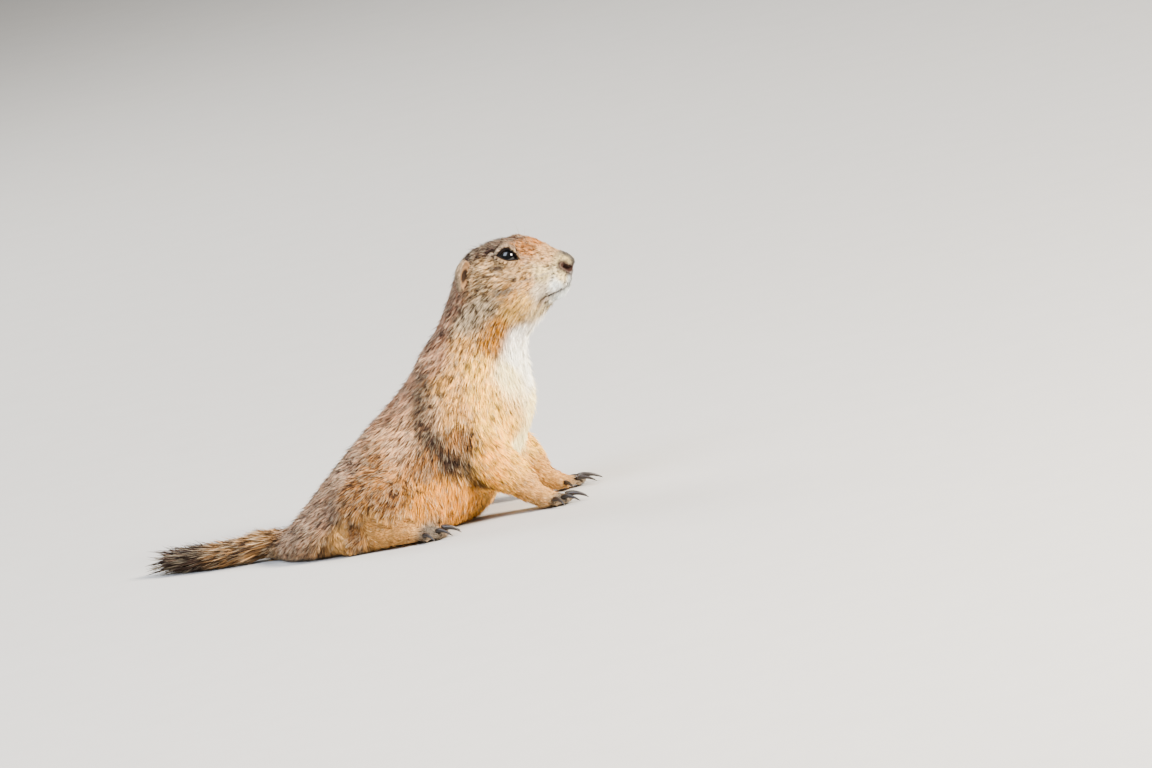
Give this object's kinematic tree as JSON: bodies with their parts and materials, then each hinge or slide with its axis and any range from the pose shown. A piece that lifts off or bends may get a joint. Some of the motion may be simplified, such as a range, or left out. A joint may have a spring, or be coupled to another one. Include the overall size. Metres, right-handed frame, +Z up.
{
  "type": "prairie dog",
  "caption": "Life-size still model of a black-tailed prairie dog resting on belly, haunches and tail, its chest and head raised on straightened forelegs.",
  "frame": {"origin": "bottom centre of the bounding box", "axes": "+X where the animal looks, +Y its left side, +Z up"},
  "size_m": [0.2518, 0.115, 0.1274],
  "materials": {
    "coat": "short dense hair, grizzled brown above and buff below",
    "tail_coat": "longer bristly hair, dark at the tip",
    "paw_coat": "very short buff hair",
    "eye": "wet gloss",
    "claw": "satin horn"
  },
  "bodies": {
    "root": {"torso": "coat", "neck": "coat", "head": "coat", "ear_r": "coat", "ear_l": "coat", "foreleg_r": "coat", "foreleg_l": "coat", "hindleg_r": "coat", "hindleg_l": "coat", "tail": "tail_coat", "forepaw_r": "paw_coat", "forepaw_l": "paw_coat", "hindfoot_r": "paw_coat", "hindfoot_l": "paw_coat", "eye_r": "eye", "eye_l": "eye", "forepaw_r_claw_1": "claw", "forepaw_r_claw_2": "claw", "forepaw_r_claw_3": "claw", "forepaw_r_claw_4": "claw", "forepaw_r_claw_5": "claw", "forepaw_l_claw_1": "claw", "forepaw_l_claw_2": "claw", "forepaw_l_claw_3": "claw", "forepaw_l_claw_4": "claw", "forepaw_l_claw_5": "claw", "hindfoot_r_claw_1": "claw", "hindfoot_r_claw_2": "claw", "hindfoot_r_claw_3": "claw", "hindfoot_r_claw_4": "claw", "hindfoot_r_claw_5": "claw", "hindfoot_l_claw_1": "claw", "hindfoot_l_claw_2": "claw", "hindfoot_l_claw_3": "claw", "hindfoot_l_claw_4": "claw", "hindfoot_l_claw_5": "claw"}
  },
  "joints": []
}
